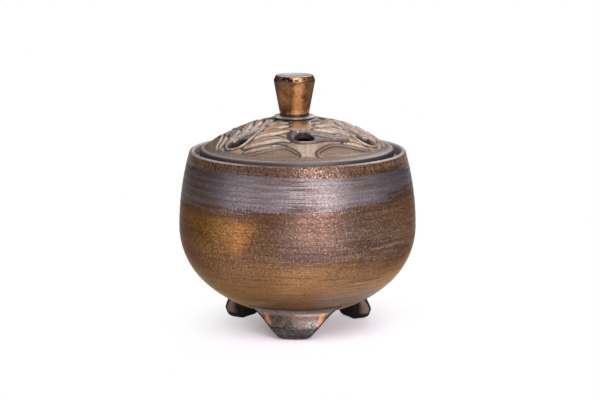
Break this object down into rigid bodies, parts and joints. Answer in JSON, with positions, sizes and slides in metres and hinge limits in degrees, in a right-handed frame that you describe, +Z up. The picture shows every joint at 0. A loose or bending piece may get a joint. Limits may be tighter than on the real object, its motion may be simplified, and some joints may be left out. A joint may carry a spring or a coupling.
{
  "type": "incense burner",
  "caption": "Round glazed stoneware incense burner on cut feet, with a pierced and carved dome lid, a flared knob, and a bed of ash carrying a coil of incense.",
  "frame": {"origin": "on the surface it stands on, under the bowl's axis", "axes": "+Z up along the bowl's axis, -Y towards the front foot, +X to the right seen from the front"},
  "size_m": [0.1, 0.1, 0.1066],
  "materials": {
    "bowl_glaze": "satin",
    "foot_glaze": "satin",
    "lid_glaze": "satin",
    "knob_glaze": "gloss",
    "ash": "matte",
    "incense": "matte"
  },
  "bodies": {
    "burner": {"bowl": "bowl_glaze", "foot_front": "foot_glaze", "foot_rear_left": "foot_glaze", "foot_rear_right": "foot_glaze", "ash_bed": "ash", "incense_coil": "incense"},
    "cover": {"lid": "lid_glaze", "knob_collar": "knob_glaze", "knob": "knob_glaze"}
  },
  "joints": [
    {"name": "lid_lift", "type": "slide", "parent": "burner", "child": "cover", "axis": [0, 0, 1], "range_m": [0, 0.11]}
  ]
}
